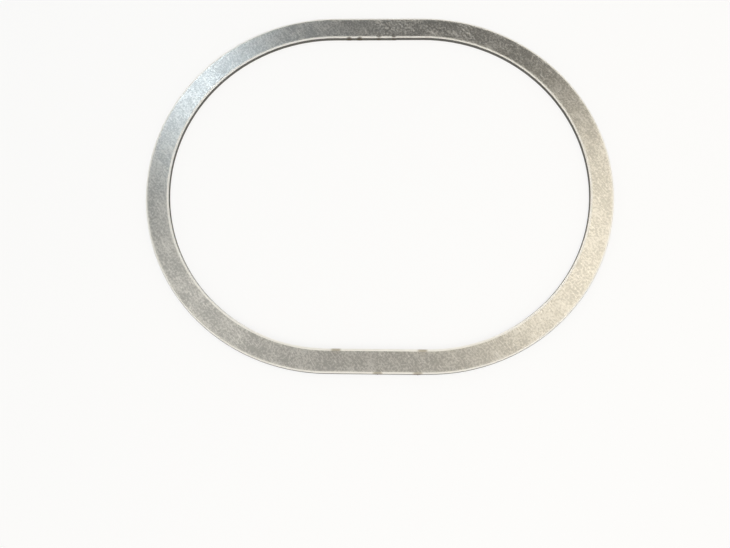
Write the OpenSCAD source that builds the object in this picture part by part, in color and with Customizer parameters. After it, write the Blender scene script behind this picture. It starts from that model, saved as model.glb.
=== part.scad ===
// Obround manhole gasket of a boiler, spiral wound: one thin steel strip, folded to a V along its
// middle, is wound flat into an obround with a ribbon of soft graphite between its turns.
// It lies flat. The origin is the middle of the opening, on the face that rests on the seat,
// with +X along the opening's length and +Z square to the sealing faces.

/* [Opening] */
// Radius of the round ends of the opening, at the edges of the first turn
opening_r = 175; // [120:5:260]
// Length of each straight side, between the round ends
straight_l = 100; // [90:5:240]

/* [Steel strip] */
// Thickness of the steel strip, measured level, across its sloping sides
strip_t = 0.22; // [0.14:0.02:0.24]
// Height of the folded strip, from edge to edge
strip_h = 4.5; // [3:0.1:6.6]
// How far the point of the V stands out from the strip's edges
vee_depth = 0.9; // [0.5:0.1:1.3]

/* [Winding] */
// Plain turns at the inside, steel on steel
inner_turns = 8; // [3:1:10]
// Turns with graphite between them
filled_turns = 28; // [6:1:34]
// Plain turns at the outside, steel on steel
outer_turns = 6; // [2:1:8]
// Step from one plain turn to the next
plain_pitch = 0.26; // [0.24:0.02:0.4]
// Step from one filled turn to the next
filled_pitch = 0.76; // [0.6:0.04:0.96]
// How far the graphite stands out above and below the steel edges
graphite_proud = 0.1; // [0.05:0.05:0.3]

/* [Strip ends] */
// Where the strip starts on the upper straight side, from the middle of the side
strip_start = 20; // [8:1:40]
// Where the strip ends on the lower straight side, from the middle of the side
strip_end = 44; // [16:1:44]

/* [Spot welds] */
// Diameter of a spot weld
weld_d = 1.6; // [1:0.2:2]
// How far a weld's bead stands off the strip
weld_bead = 0.12; // [0.05:0.01:0.2]
// Welds through the inner plain turns of the upper side, back from the strip's start
start_welds = [3, 20, 42, 54]; // [3:1:54]
// Welds through the inner plain turns of the lower side, from the middle of the side
lower_welds = [-41, 46]; // [-48:1:48]
// Welds through the outer plain turns, back from the strip's end
end_welds = [3, 43]; // [3:1:60]

/* [Hidden] */
$fn = 96;

// Half turns are numbered from the strip's start. An even one runs along the upper side and round
// the left end, an odd one along the lower side and round the right end.
first_filled = 2 * inner_turns;
first_outer = first_filled + 2 * filled_turns;
last_half = first_outer + 2 * outer_turns - 1;

// A filled turn grows as much at either end. A plain turn grows as much as that at one end,
// and has the rest of its smaller step at the other end.
half_step = filled_pitch / 2;
rest_step = plain_pitch - half_step;

gasket_h = strip_h + 2 * graphite_proud;
middle_z = gasket_h / 2;
graphite_t = filled_pitch - strip_t;

// Past the steel's edges the graphite keeps the slope of the V
proud_shift = round(1000 * vee_depth * graphite_proud / (strip_h / 2)) / 1000;

// Thickness of the blocks that a feathered end of the graphite is cut from
feather_block = 2;

function is_even(i) = i % 2 == 0;
function upper(first, last) = [for (i = [first:last]) if (is_even(i)) i];
function lower(first, last) = [for (i = [first:last]) if (!is_even(i)) i];

// Distance of half turn i's straight run from the long axis, at the inner edges of the strip
function plain_run(i, odd_step) = plain_pitch * floor(i / 2) + (is_even(i) ? 0 : odd_step);
function run_y(i) =
    i <= first_filled ? opening_r + plain_run(i, half_step)
    : i <= first_outer ? run_y(first_filled) + half_step * (i - first_filled)
    : run_y(first_outer) + plain_run(i - first_outer, rest_step);

// Radius of the bend that leads from half turn i's run to the next one
function bend_r(i) = (run_y(i) + run_y(i + 1)) / 2;

// V section, pointing outwards, of a layer t thick whose steel edges would be at distance r
module vee(r, t, proud, shift) {
    h = strip_h / 2 + proud;
    polygon([
        [r - shift, middle_z - h],
        [r - shift + t, middle_z - h],
        [r + t + vee_depth, middle_z],
        [r - shift + t, middle_z + h],
        [r - shift, middle_z + h],
        [r + vee_depth, middle_z]
    ]);
}

module steel_layer(r, t = strip_t) {
    vee(r, t, 0, 0);
}

module graphite_layer(r, t = graphite_t) {
    vee(r, t, graphite_proud, proud_shift);
}

// Bends round the left end whose turns grow by step there
module left_bends(step) {
    translate([-straight_l / 2, -step / 2, 0])
        rotate([0, 0, 90])
            rotate_extrude(angle = 180)
                children();
}

// Bends round the right end whose turns grow by step there
module right_bends(step) {
    translate([straight_l / 2, step / 2, 0])
        rotate([0, 0, -90])
            rotate_extrude(angle = 180)
                children();
}

// Runs along the upper side, from x0 to x1
module upper_runs(x0 = -straight_l / 2, x1 = straight_l / 2) {
    translate([x0, 0, 0])
        rotate([90, 0, 90])
            linear_extrude(x1 - x0)
                children();
}

// Runs along the lower side, from x0 to x1
module lower_runs(x0 = -straight_l / 2, x1 = straight_l / 2) {
    rotate([0, 0, 180])
        upper_runs(-x1, -x0)
            children();
}

module steel_bends(list) {
    for (i = list)
        steel_layer(bend_r(i));
}

module steel_runs(list) {
    for (i = list)
        steel_layer(run_y(i));
}

// Spot weld at x on the upper side, through every layer from distance r0 to r1
module weld(x, r0, r1) {
    intersection() {
        translate([x, r0, middle_z])
            rotate([-90, 0, 0])
                cylinder(d = weld_d, h = r1 - r0 + vee_depth);
        upper_runs(x - weld_d, x + weld_d)
            steel_layer(r0, r1 - r0);
    }
}

module inner_welds() {
    half_t = strip_t / 2;
    for (back = start_welds)
        weld(strip_start - back, run_y(0) - weld_bead, run_y(first_filled) + half_t);
    for (x = lower_welds)
        rotate([0, 0, 180])
            weld(-x, run_y(1) - weld_bead, run_y(first_filled + 1) + half_t);
}

module outer_welds() {
    for (back = end_welds)
        rotate([0, 0, 180])
            weld(
                back - strip_end,
                run_y(first_outer - 1) + strip_t / 2,
                run_y(last_half) + strip_t + weld_bead
            );
}

// The whole strip, from its start inside the upper side to its end outside the lower side
module steel_winding() {
    color([0.8, 0.79, 0.76]) {
        upper_runs(-straight_l / 2, strip_start)
            steel_runs([0]);
        left_bends(half_step)
            steel_bends(upper(0, first_outer - 1));
        left_bends(rest_step)
            steel_bends(upper(first_outer, last_half - 1));
        lower_runs()
            steel_runs(lower(1, last_half - 1));
        right_bends(rest_step)
            steel_bends(lower(0, first_filled - 1));
        right_bends(half_step)
            steel_bends(lower(first_filled, last_half - 1));
        upper_runs()
            steel_runs(upper(2, last_half));
        lower_runs(-straight_l / 2, strip_end)
            steel_runs([last_half]);
        inner_welds();
        outer_welds();
    }
}

module graphite_bends(list) {
    for (i = list)
        graphite_layer(bend_r(i) + strip_t);
}

module graphite_runs(list) {
    for (i = list)
        graphite_layer(run_y(i) + strip_t);
}

// Feathered start of the ribbon, where the last inner plain turn parts from the next
module graphite_start() {
    i = first_filled - 1;
    intersection() {
        right_bends(rest_step)
            graphite_layer(bend_r(i) + strip_t, feather_block);
        right_bends(half_step)
            graphite_layer(bend_r(i + 2) - feather_block, feather_block);
    }
}

// Feathered end of the ribbon, where the last filled turn closes on the first outer plain one
module graphite_end() {
    i = first_outer - 2;
    intersection() {
        left_bends(half_step)
            graphite_layer(bend_r(i) + strip_t, feather_block);
        left_bends(rest_step)
            graphite_layer(bend_r(i + 2) - feather_block, feather_block);
    }
}

// The whole ribbon, which fills the space outside each filled turn of the strip
module graphite_filler() {
    color([0.42, 0.42, 0.43]) {
        graphite_start();
        upper_runs()
            graphite_runs(upper(first_filled, first_outer - 2));
        left_bends(half_step)
            graphite_bends(upper(first_filled, first_outer - 3));
        lower_runs()
            graphite_runs(lower(first_filled, first_outer - 3));
        right_bends(half_step)
            graphite_bends(lower(first_filled, first_outer - 3));
        graphite_end();
    }
}

steel_winding();
graphite_filler();
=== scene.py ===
from math import pi, radians

import bmesh
import bpy
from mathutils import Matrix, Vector


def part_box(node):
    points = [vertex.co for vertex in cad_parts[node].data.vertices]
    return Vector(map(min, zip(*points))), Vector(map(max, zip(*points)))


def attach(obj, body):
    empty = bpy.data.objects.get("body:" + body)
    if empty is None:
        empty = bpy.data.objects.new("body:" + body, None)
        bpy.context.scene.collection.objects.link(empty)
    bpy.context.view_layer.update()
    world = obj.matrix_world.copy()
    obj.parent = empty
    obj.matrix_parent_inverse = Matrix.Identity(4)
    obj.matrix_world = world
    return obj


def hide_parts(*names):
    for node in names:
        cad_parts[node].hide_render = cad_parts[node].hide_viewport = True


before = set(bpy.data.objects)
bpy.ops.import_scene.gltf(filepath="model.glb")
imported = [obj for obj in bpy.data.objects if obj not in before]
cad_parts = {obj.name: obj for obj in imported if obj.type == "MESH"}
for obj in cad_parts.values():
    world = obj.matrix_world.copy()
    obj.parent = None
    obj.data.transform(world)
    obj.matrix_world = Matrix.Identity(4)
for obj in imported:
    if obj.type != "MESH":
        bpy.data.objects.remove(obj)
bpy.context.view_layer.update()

# Steel strip. One stainless strip, 0.22 mm thick, is rolled to a V along its middle and wound flat
# round an obround former as one spiral: plain turns, then turns with graphite between them, then
# plain turns again. Its slit edges are bright, partly as a painted highlight, and its rolled sides
# duller, darkened further with painted shade.
opening_r = 0.175
straight_l = 0.1
strip_t = 0.00022
vee_depth = 0.0009
inner_turns = 8
filled_turns = 28
outer_turns = 6
plain_pitch = 0.00026
filled_pitch = 0.00076
strip_start = 0.020
strip_end = 0.044
strip_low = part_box("steel_winding")[0][2]
strip_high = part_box("steel_winding")[1][2]
middle_z = (strip_low + strip_high) / 2
half_h = (strip_high - strip_low) / 2
edge_ease = 0.00002
edge_segments = 1
fold_ease = 0.0004
fold_segments = 2
seam_reach = 0.0000025
bend_steps = 64
run_steps = 8

# Half turns are numbered from the strip's start. An even one runs along the upper side and round
# the left end, an odd one along the lower side and round the right end.
first_filled = 2 * inner_turns
first_outer = first_filled + 2 * filled_turns
last_half = first_outer + 2 * outer_turns - 1

# A filled turn grows as much at either end. A plain turn grows as much as that at one end,
# and has the rest of its smaller step at the other end.
half_step = filled_pitch / 2
rest_step = plain_pitch - half_step

def run_y(i):
    """Distance of half turn i's straight run from the long axis, at the strip's inner edges."""
    if i <= first_filled:
        return opening_r + plain_pitch * (i // 2) + half_step * (i % 2)
    if i <= first_outer:
        return run_y(first_filled) + half_step * (i - first_filled)
    plain = i - first_outer
    return run_y(first_outer) + plain_pitch * (plain // 2) + rest_step * (plain % 2)

def upper(first, last):
    """The half turns from first to last that run along the upper side."""
    return [i for i in range(first, last + 1) if i % 2 == 0]

def lower(first, last):
    """The half turns from first to last that run along the lower side."""
    return [i for i in range(first, last + 1) if i % 2 == 1]

def eased_outline(corners, ease, fold):
    """Points of a V section whose fold is rounded and whose highest and lowest corners are eased."""
    top = max(z for y, z in corners)
    bottom = min(z for y, z in corners)
    bm = bmesh.new()
    bm.faces.new([bm.verts.new((0, y, z)) for y, z in corners])
    folds = ((middle_z,), fold, fold_segments)
    edges = ((top, bottom), ease, edge_segments)
    for heights, offset, segments in (folds, edges):
        near = [v for v in bm.verts if any(abs(v.co.z - z) < seam_reach for z in heights)]
        bmesh.ops.bevel(
            bm, geom=near, offset=offset, offset_type="OFFSET", segments=segments,
            profile=0.5, affect="VERTICES", material=-1,
        )
    points = [(v.co.y, v.co.z) for face in bm.faces for v in face.verts]
    bm.free()
    return points

def stand_sections(bm, x, side, halves, outline):
    """Wires of these half turns' sections, standing at x on the upper (1) or lower (-1) side."""
    wires = []
    for i in halves:
        verts = [bm.verts.new((x, side * (run_y(i) + y), z)) for y, z in outline]
        wires += verts + [bm.edges.new((verts[k - 1], verts[k])) for k in range(len(verts))]
    return wires

def wind_bends(bm, end, step, halves, outline):
    """Half turns round the left (-1) or right (1) end, whose turns grow by step there."""
    x = end * straight_l / 2
    bmesh.ops.spin(
        bm, geom=stand_sections(bm, x, -end, halves, outline), cent=(x, end * step / 2, 0),
        axis=(0, 0, 1), angle=pi, steps=bend_steps,
    )

def wind_runs(bm, side, halves, outline, x0=-straight_l / 2, x1=straight_l / 2):
    """Straight runs along the upper (1) or lower (-1) side, from x0 to x1."""
    bmesh.ops.spin(
        bm, geom=stand_sections(bm, x0, side, halves, outline), cent=(0, 0, 0),
        axis=(0, 0, 1), angle=0, steps=run_steps, dvec=((x1 - x0) / run_steps, 0, 0),
    )

def finish_piece(bm, name, material, node):
    """Makes the bmesh a piece of the gasket, with its seams closed and its ends capped."""
    bmesh.ops.remove_doubles(bm, verts=bm.verts, dist=seam_reach)
    bmesh.ops.holes_fill(bm, edges=[e for e in bm.edges if e.is_boundary], sides=0)
    bmesh.ops.recalc_face_normals(bm, faces=bm.faces)
    mesh = bpy.data.meshes.new(name)
    bm.to_mesh(mesh)
    bm.free()
    mesh.shade_smooth()
    mesh.materials.append(material)
    piece = bpy.data.objects.new(name, mesh)
    bpy.context.scene.collection.objects.link(piece)
    shading = piece.modifiers.new("flat_sides", "WEIGHTED_NORMAL")
    shading.mode = "FACE_AREA"
    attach(piece, "root")
    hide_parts(node)

def set_inputs(tree, node, inputs):
    """Sets or links a node's inputs, by name or number, and returns its outputs."""
    for name, value in inputs.items():
        if isinstance(value, bpy.types.NodeSocket):
            tree.links.new(value, node.inputs[name])
        else:
            node.inputs[name].default_value = value
    return node.outputs

def add_node(tree, kind, inputs, **settings):
    """Outputs of a new shader node of this kind, with these settings and inputs."""
    node = tree.nodes.new("ShaderNode" + kind)
    for name, value in settings.items():
        setattr(node, name, value)
    return set_inputs(tree, node, inputs)

def compute(tree, operation, *values):
    """Output of a Math node that works on these numbers or outputs."""
    return add_node(tree, "Math", dict(enumerate(values)), operation=operation)[0]

def fade(tree, value, low, high, to_low=0.0, to_high=1.0):
    """Value taken smoothly from the span low..high to the span to_low..to_high, and kept in it."""
    spans = {"From Min": low, "From Max": high, "To Min": to_low, "To Max": to_high}
    return add_node(tree, "MapRange", {"Value": value, **spans}, interpolation_type="SMOOTHSTEP")[0]

def blend(tree, factor, first, second):
    """Colour between first and second."""
    return add_node(tree, "Mix", {0: factor, 6: first, 7: second}, data_type="RGBA")[2]

def mottle(tree, place, scale, detail=3.0, roughness=0.5):
    """Noise from 0 to 1, mostly near 0.5, whose largest marks are about 1/scale metres wide."""
    inputs = {"Vector": place, "Scale": scale, "Detail": detail, "Roughness": roughness}
    return add_node(tree, "TexNoise", inputs)[0]

def new_effect(name, inputs, outputs):
    """An empty shader node group with these sockets, and where its nodes start and end."""
    tree = bpy.data.node_groups.new(name, "ShaderNodeTree")
    for socket, kind in inputs:
        tree.interface.new_socket(socket, in_out="INPUT", socket_type="NodeSocket" + kind)
    for socket, kind in outputs:
        tree.interface.new_socket(socket, in_out="OUTPUT", socket_type="NodeSocket" + kind)
    return tree, tree.nodes.new("NodeGroupInput").outputs, tree.nodes.new("NodeGroupOutput")

def new_finish(name):
    """A new material, its node tree, its Object coordinates and its Principled shader."""
    material = bpy.data.materials.new(name)
    material.use_nodes = True
    tree = material.node_tree
    tree.nodes.clear()
    place = add_node(tree, "TexCoord", {})["Object"]
    shader = tree.nodes.new("ShaderNodeBsdfPrincipled")
    add_node(tree, "OutputMaterial", {"Surface": shader.outputs[0]})
    return material, tree, place, shader

# Where a point lies in the winding: how far out from the opening's edge, and a place that changes
# fast from turn to turn and up the sides but slowly along them, for marks that follow the strip
turn_stretch = 40.0
winding, given, made = new_effect(
    "winding_place", [("Place", "Vector")], [("Outward", "Float"), ("Along Strip", "Vector")]
)
x, y, z = add_node(winding, "SeparateXYZ", {0: given["Place"]})
past_run = compute(winding, "SUBTRACT", compute(winding, "ABSOLUTE", x), straight_l / 2)
past_run = compute(winding, "MAXIMUM", past_run, 0.0)
from_end = add_node(winding, "CombineXYZ", {"X": past_run, "Y": y})[0]
reach = add_node(winding, "VectorMath", {0: from_end}, operation="LENGTH")["Value"]
outward = compute(winding, "SUBTRACT", reach, opening_r)
along = add_node(winding, "CombineXYZ", {
    "X": compute(winding, "MULTIPLY_ADD", outward, turn_stretch, x),
    "Y": y,
    "Z": compute(winding, "MULTIPLY", z, turn_stretch),
})[0]
set_inputs(winding, made, {"Outward": outward, "Along Strip": along})

# Graphite film, pressed flat by the winding rolls: granular and cloudy, with short slanting
# scuffs and finer scratches that cross them. It also lies thinly over the steel edges between
# the ribbon's turns.
grain_scale = 450.0
cloud_scale = 60.0
scuff_size = (0.008, 0.0011, 0.008)
scuff_slant = radians(-52)
scratch_size = (0.008, 0.0007, 0.008)
scratch_slant = radians(72)
grain_share = 0.56
cloud_share = 0.24
scuff_share = 0.2
scuff_strength = 0.35
rubbed_height = 0.5
dark_film = (0.4, 0.4, 0.395, 1)
lit_film = (0.59, 0.585, 0.57, 1)
scraped_film = (0.9, 0.89, 0.87, 1)

# Spans of the noise over which the marks come in and the film goes from dark to lit, and its
# metallic and roughness at either end of theirs
scuff_span = (0.62, 0.7)
scratch_span = (0.7, 0.76)
lit_span = (0.44, 0.56)
metallic_span = (0.51, 0.575)
roughness_span = (0.42, 0.58)
film_metallic = (1.0, 0.42)
film_roughness = (0.36, 0.31)
pressed, given, made = new_effect(
    "pressed_graphite", [("Place", "Vector")],
    [("Color", "Color"), ("Metallic", "Float"), ("Roughness", "Float"), ("Height", "Float")],
)
grains = mottle(pressed, given["Place"], grain_scale, detail=2.0, roughness=0.75)
clouds = mottle(pressed, given["Place"], cloud_scale)
slanted = add_node(pressed, "Mapping", {
    "Vector": given["Place"], "Rotation": (0, 0, scuff_slant), "Scale": scuff_size
}, vector_type="TEXTURE")[0]
rubbed = mottle(pressed, slanted, 1.0, detail=2.0)
scuffs = fade(pressed, rubbed, *scuff_span)
crossing = add_node(pressed, "Mapping", {
    "Vector": given["Place"], "Rotation": (0, 0, scratch_slant), "Scale": scratch_size
}, vector_type="TEXTURE")[0]
scratched = mottle(pressed, crossing, 1.0, detail=2.0)
scratches = fade(pressed, scratched, *scratch_span)
tone = compute(pressed, "MULTIPLY", clouds, cloud_share)
tone = compute(pressed, "MULTIPLY_ADD", grains, grain_share, tone)
tone = compute(pressed, "MULTIPLY_ADD", rubbed, scuff_share, tone)
lit = fade(pressed, tone, *lit_span)
colour = blend(pressed, lit, dark_film, lit_film)
scraped = compute(pressed, "MULTIPLY", scuffs, scuff_strength)
scraped = compute(pressed, "MAXIMUM", scraped, scratches)
colour = blend(pressed, scraped, colour, scraped_film)
set_inputs(pressed, made, {
    "Color": colour,
    "Metallic": fade(pressed, tone, *metallic_span, *film_metallic),
    "Roughness": fade(pressed, tone, *roughness_span, *film_roughness),
    "Height": compute(pressed, "MULTIPLY_ADD", rubbed, rubbed_height, grains),
})

# The winding is held by spot welds through its plain turns. Each leaves a brown heat stain,
# smaller and darker by the strip's start.
weld_d = 0.0016
weld_bead = 0.00012
lip_y = opening_r + vee_depth
rim_y = run_y(last_half) + strip_t + vee_depth
start_backs = (0.003, 0.020, 0.042, 0.054)
start_welds = [(strip_start - back, lip_y, middle_z) for back in start_backs]
lower_welds = [(x, -lip_y - half_step, middle_z) for x in (-0.041, 0.046)]
end_welds = [(strip_end - back, -rim_y, middle_z) for back in (0.003, 0.043)]

# Of the four marks by the strip's start, two lie on the face and two on the inner lip
face_scorch_y = opening_r + 0.0032
lip_scorch_y = opening_r - 0.001
scorch_ys = (face_scorch_y, face_scorch_y, lip_scorch_y, lip_scorch_y)
scorch_reach = 0.0045
stain_reach = 0.0068
scorch_cover = 0.95
stain_cover = 0.85
scorch_brown = (0.1, 0.085, 0.065, 1)
stain_straw = (0.32, 0.24, 0.12, 1)
stain_brown = (0.08, 0.055, 0.035, 1)
stained_edge = (0.46, 0.42, 0.34, 1)

# Cold-rolled steel, with fine streaks along the strip. Its rolled sides are coloured far darker than
# bare steel, as painted shade. The last 0.3 mm at each slit edge is bright and frosted, its
# near-white colour partly a painted highlight.
streak_scale = 60.0
streak_depth = 0.00002
bump_strength = 0.3
slit_depth = 0.0003
slit_ease = 0.0002
film_cover = 0.8
sheen_span = (0.3, 0.7)
rolled_roughness = (0.26, 0.36)
slit_roughness = 0.08
bare_frost = 0.9
filmed_frost = 0.35
# Rolled sides: these dark colours are painted shade on the walls
dark_roll_shade = (0.07, 0.066, 0.06, 1)
pale_roll_shade = (0.2, 0.195, 0.18, 1)
# Slit edges: this near white is partly a painted highlight
dull_edge_and_highlight = (0.95, 0.94, 0.91, 1)
bright_edge_and_highlight = (1.0, 1.0, 0.98, 1)
steel, tree, place, shader = new_finish("stainless_strip")
spot = add_node(tree, "Group", {}, node_tree=winding)
set_inputs(tree, spot[0].node, {"Place": place})
film = add_node(tree, "Group", {}, node_tree=pressed)
set_inputs(tree, film[0].node, {"Place": place})
streaks = mottle(tree, spot["Along Strip"], streak_scale, detail=4.0, roughness=0.6)
height = add_node(tree, "SeparateXYZ", {0: place})[2]
from_middle = compute(tree, "ABSOLUTE", compute(tree, "SUBTRACT", height, middle_z))
slit = fade(tree, from_middle, half_h - slit_depth, half_h - slit_depth + slit_ease)

# The film spreads over the filled turns, and fades out just inside the first and last of them
filled_from = plain_pitch * inner_turns
filled_to = filled_from + filled_pitch * filled_turns
film_from = filled_from + 0.0008
whole_from = filled_from + 0.0014
whole_to = filled_to - 0.0019
film_to = filled_to - 0.0009
filmed = compute(
    tree, "MULTIPLY",
    fade(tree, spot["Outward"], film_from, whole_from),
    fade(tree, spot["Outward"], whole_to, film_to, 1.0, 0.0),
)

def heat_mark(welds, reach):
    """Mask that is 1 within half this reach of the welds and falls to 0 at the whole of it."""
    nearest = reach
    for weld in welds:
        apart = add_node(tree, "VectorMath", {0: place, 1: weld}, operation="DISTANCE")["Value"]
        nearest = compute(tree, "MINIMUM", nearest, apart)
    return fade(tree, nearest, 0.5 * reach, reach, 1.0, 0.0)

scorches = [(strip_start - back, y, middle_z) for back, y in zip(start_backs, scorch_ys)]
scorch = heat_mark(scorches, scorch_reach)
stain = heat_mark(lower_welds + end_welds, stain_reach)
# Painted shade on the rolled sides, and a partly painted highlight on the slit edges
rolled_and_shade = blend(tree, streaks, dark_roll_shade, pale_roll_shade)
edge_and_highlight = blend(tree, streaks, dull_edge_and_highlight, bright_edge_and_highlight)
metal = blend(tree, slit, rolled_and_shade, edge_and_highlight)
metal = blend(tree, compute(tree, "MULTIPLY", filmed, film_cover), metal, film["Color"])
burnt = blend(tree, stain, stain_straw, stain_brown)
burnt = blend(tree, slit, burnt, stained_edge)
metal = blend(tree, compute(tree, "MULTIPLY", stain, stain_cover), metal, burnt)
metal = blend(tree, compute(tree, "MULTIPLY", scorch, scorch_cover), metal, scorch_brown)
sheen = fade(tree, streaks, *sheen_span, *rolled_roughness)
sheen = compute(tree, "MULTIPLY_ADD", slit, slit_roughness, sheen)

# A slit edge scatters light where the rolled sides mirror it, and less so under the film
frost = compute(tree, "MULTIPLY_ADD", filmed, filmed_frost - bare_frost, bare_frost)
frosted = compute(tree, "MULTIPLY", slit, frost)
bumps = add_node(tree, "Bump", {
    "Strength": bump_strength, "Distance": streak_depth, "Height": streaks
})[0]
set_inputs(tree, shader, {
    "Base Color": metal,
    "Metallic": compute(tree, "SUBTRACT", 1.0, frosted),
    "Roughness": sheen,
    "Normal": bumps,
})

strip_outline = eased_outline(
    [
        (0, strip_low),
        (strip_t, strip_low),
        (strip_t + vee_depth, middle_z),
        (strip_t, strip_high),
        (0, strip_high),
        (vee_depth, middle_z),
    ],
    edge_ease, fold_ease,
)
bm = bmesh.new()
wind_bends(bm, -1, half_step, upper(0, first_outer - 1), strip_outline)
wind_bends(bm, -1, rest_step, upper(first_outer, last_half - 1), strip_outline)
wind_bends(bm, 1, rest_step, lower(0, first_filled - 1), strip_outline)
wind_bends(bm, 1, half_step, lower(first_filled, last_half - 1), strip_outline)
wind_runs(bm, 1, [0], strip_outline, x1=strip_start)
wind_runs(bm, 1, upper(2, last_half), strip_outline)
wind_runs(bm, -1, lower(1, last_half - 1), strip_outline)
wind_runs(bm, -1, [last_half], strip_outline, x1=strip_end)
finish_piece(bm, "steel_strip", steel, "steel_winding")

# Spot welds. Small lens-shaped nuggets, fused through the plain turns at the point of the V, hold
# the strip's first and last turns. Six show inside the opening and two on the outer wall.
bm = bmesh.new()
for weld in start_welds + lower_welds + end_welds:
    nugget = bmesh.ops.create_uvsphere(bm, u_segments=20, v_segments=12, radius=weld_d / 2)["verts"]
    bmesh.ops.scale(bm, vec=(1, 2 * weld_bead / weld_d, 1), verts=nugget)

    # The nugget follows the sloping sides of the V, which points away from the opening
    outwards = 1 if weld[1] > 0 else -1
    for v in nugget:
        v.co.y -= outwards * vee_depth * abs(v.co.z) / half_h
    bmesh.ops.translate(bm, vec=weld, verts=nugget)
finish_piece(bm, "spot_welds", steel, "steel_winding")

# Graphite ribbon. A soft ribbon of flake graphite is wound in with the strip and fills the space
# outside each filled turn. It stands a little out of the steel edges on both faces, where it is
# pressed flat and spreads over them. It starts and ends thin, where the filled turns do.
graphite_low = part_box("graphite_filler")[0][2]
graphite_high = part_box("graphite_filler")[1][2]
ribbon_spread = 0.00006
ribbon_ease = 0.00005
side_gap = 0.000005
ribbon_t = filled_pitch - strip_t - 2 * side_gap
thin_t = plain_pitch - strip_t - 2 * side_gap
grain_depth = 0.00005

graphite, tree, place, shader = new_finish("flexible_graphite")
film = add_node(tree, "Group", {}, node_tree=pressed)
set_inputs(tree, film[0].node, {"Place": place})
bumps = add_node(tree, "Bump", {
    "Strength": bump_strength, "Distance": grain_depth, "Height": film["Height"]
})[0]
set_inputs(tree, shader, {
    "Base Color": film["Color"],
    "Metallic": film["Metallic"],
    "Roughness": film["Roughness"],
    "Normal": bumps,
})

ribbon_in = strip_t + side_gap
ribbon_out = ribbon_in + ribbon_t
ribbon_outline = eased_outline(
    [
        (ribbon_in - ribbon_spread, graphite_low),
        (ribbon_out + ribbon_spread, graphite_low),
        (ribbon_out, strip_low),
        (ribbon_out + vee_depth, middle_z),
        (ribbon_out, strip_high),
        (ribbon_out + ribbon_spread, graphite_high),
        (ribbon_in - ribbon_spread, graphite_high),
        (ribbon_in, strip_high),
        (ribbon_in + vee_depth, middle_z),
        (ribbon_in, strip_low),
    ],
    ribbon_ease, fold_ease,
)

# Within this share of the half height the outline may be rounded, and a point there counts as one
# of the ribbon's inner or outer side
fold_slope = 0.5

def thin_out(bm, end, step, i):
    """The ribbon's half turn beyond run i, round one end, thinning until the plain turns meet."""
    x = end * straight_l / 2
    centre = Vector((x, end * step / 2, 0))
    before = set(bm.verts)
    bmesh.ops.spin(
        bm, geom=stand_sections(bm, x, 1, [i], ribbon_outline), cent=centre,
        axis=(0, 0, 1), angle=-end * pi, steps=bend_steps,
    )
    inner_r = run_y(i) - centre.y + ribbon_in
    for v in set(bm.verts) - before:
        arm = v.co - centre
        ray = Vector((arm.x, arm.y, 0))

        # Nothing is taken off at the run, and half a turn on all but the gap of the plain turns
        thinned = (1 - ray.y / ray.length) / 2 * (ribbon_t - thin_t) / ribbon_t
        slope = abs(v.co.z - middle_z) / half_h
        offset = ray.length - inner_r - vee_depth * (1 - slope)
        if slope < fold_slope:
            offset = ribbon_t if offset > ribbon_t / 2 else 0
        v.co -= ray.normalized() * offset * thinned

bm = bmesh.new()
thin_out(bm, 1, rest_step, first_filled)
wind_runs(bm, 1, upper(first_filled, first_outer - 2), ribbon_outline)
wind_bends(bm, -1, half_step, upper(first_filled, first_outer - 3), ribbon_outline)
wind_runs(bm, -1, lower(first_filled, first_outer - 3), ribbon_outline)
wind_bends(bm, 1, half_step, lower(first_filled, first_outer - 3), ribbon_outline)
thin_out(bm, -1, half_step, first_outer - 2)
finish_piece(bm, "graphite_ribbon", graphite, "graphite_filler")

# Floor. A plain pale sheet, shown near white, that keeps the gasket's shadow. Far off it fades
# into the pale surround.
floor_size = 60.0
near_floor = 0.7
far_floor = 2.5
near_share = 0.8
floor_pale = (0.92, 0.92, 0.91, 1)
shown_white = (1, 1, 1, 1)
surround_pale = (0.93, 0.93, 0.92, 1)
pale, tree, place, shader = new_finish("pale_floor")
set_inputs(tree, shader, {"Base Color": floor_pale, "Roughness": 0.9})
rays = add_node(tree, "LightPath", {})
seen = compute(tree, "MAXIMUM", rays["Is Glossy Ray"], rays["Is Transmission Ray"])
seen = compute(tree, "MAXIMUM", rays["Is Camera Ray"], seen)
away = add_node(tree, "VectorMath", {0: place}, operation="LENGTH")["Value"]
white = blend(tree, fade(tree, away, near_floor, far_floor), shown_white, surround_pale)
white = add_node(tree, "Emission", {"Color": white, "Strength": 1.0})[0]
share = fade(tree, away, near_floor, far_floor, near_share, 1.0)
shown = add_node(tree, "MixShader", {0: compute(tree, "MULTIPLY", seen, share)})[0]
tree.links.new(shader.outputs[0], shown.node.inputs[1])
tree.links.new(white, shown.node.inputs[2])
tree.links.new(shown, tree.nodes["Material Output"].inputs["Surface"])
bm = bmesh.new()
bmesh.ops.create_grid(bm, x_segments=1, y_segments=1, size=floor_size / 2)
mesh = bpy.data.meshes.new("floor")
bm.to_mesh(mesh)
bm.free()
mesh.materials.append(pale)
floor = bpy.data.objects.new("floor", mesh)
bpy.context.scene.collection.objects.link(floor)

# Light. A pale surround, dim higher up and a little lighter overhead, with a cool window behind on
# the left, a broad warm one at the right and a fainter one above on the left, whose reflections
# grade the faces as they go round, and a broad soft lamp in front.

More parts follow.
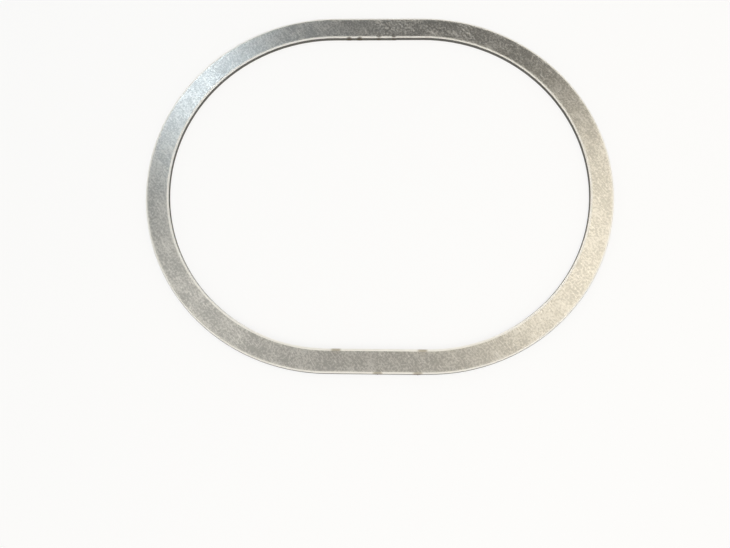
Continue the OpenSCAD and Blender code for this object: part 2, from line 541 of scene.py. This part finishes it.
# Heights in the surround, from 0 at the horizon to 1 overhead, at which its tones end and begin
pale_to = 0.4
dim_from = 0.56
dim_to = 0.82
lighter_from = 0.97
surround_dim = (0.07, 0.067, 0.061, 1)
surround_overhead = (0.19, 0.18, 0.16, 1)
world = bpy.data.worlds.new("studio")
bpy.context.scene.world = world
world.use_nodes = True
studio = world.node_tree
up = add_node(studio, "SeparateXYZ", {0: add_node(studio, "TexCoord", {})["Generated"]})[2]
surround = blend(studio, fade(studio, up, pale_to, dim_from), surround_pale, surround_dim)
surround = blend(studio, fade(studio, up, dim_to, lighter_from), surround, surround_overhead)
set_inputs(studio, studio.nodes["Background"], {"Color": surround, "Strength": 1.0})

def soft_lamp(name, place, aim, size, colour, power):
    """A square soft lamp at place that faces aim."""
    data = bpy.data.lights.new(name, "AREA")
    data.size = size
    data.color = colour
    data.energy = power
    lamp = bpy.data.objects.new(name, data)
    lamp.location = place
    lamp.rotation_euler = (Vector(aim) - Vector(place)).to_track_quat("-Z", "Y").to_euler()
    bpy.context.scene.collection.objects.link(lamp)

soft_lamp("cool_window", (-0.57, 0.72, 1.0), (-0.2, 0.1, 0), 0.28, (0.8, 0.92, 1.0), 2.2)
soft_lamp("warm_window", (0.66, 0.16, 1.0), (0.2, -0.05, 0), 0.75, (1.0, 0.9, 0.72), 4.35)
soft_lamp("left_window", (-0.64, 0.08, 1.4), (-0.2, -0.15, 0), 0.5, (1.0, 0.97, 0.89), 1.55)
soft_lamp("front_fill", (0, -1.0, 1.3), (0, 0, 0), 1.2, (1.0, 0.95, 0.87), 12.0)

# Camera. It looks down on the gasket from in front of its lower side, as in the photo.
image_width = 730
focal_pixels = 520
camera_data = bpy.data.cameras.new("camera")
camera_data.sensor_width = 36
camera_data.lens = focal_pixels * camera_data.sensor_width / image_width
camera = bpy.data.objects.new("camera", camera_data)
camera.location = (-0.001, -0.2042, 0.5317)
camera.rotation_mode = "ZYX"
camera.rotation_euler = (radians(11.322), radians(1.237), radians(0.426))
bpy.context.scene.collection.objects.link(camera)
bpy.context.scene.camera = camera
bpy.context.scene.view_settings.view_transform = "Standard"
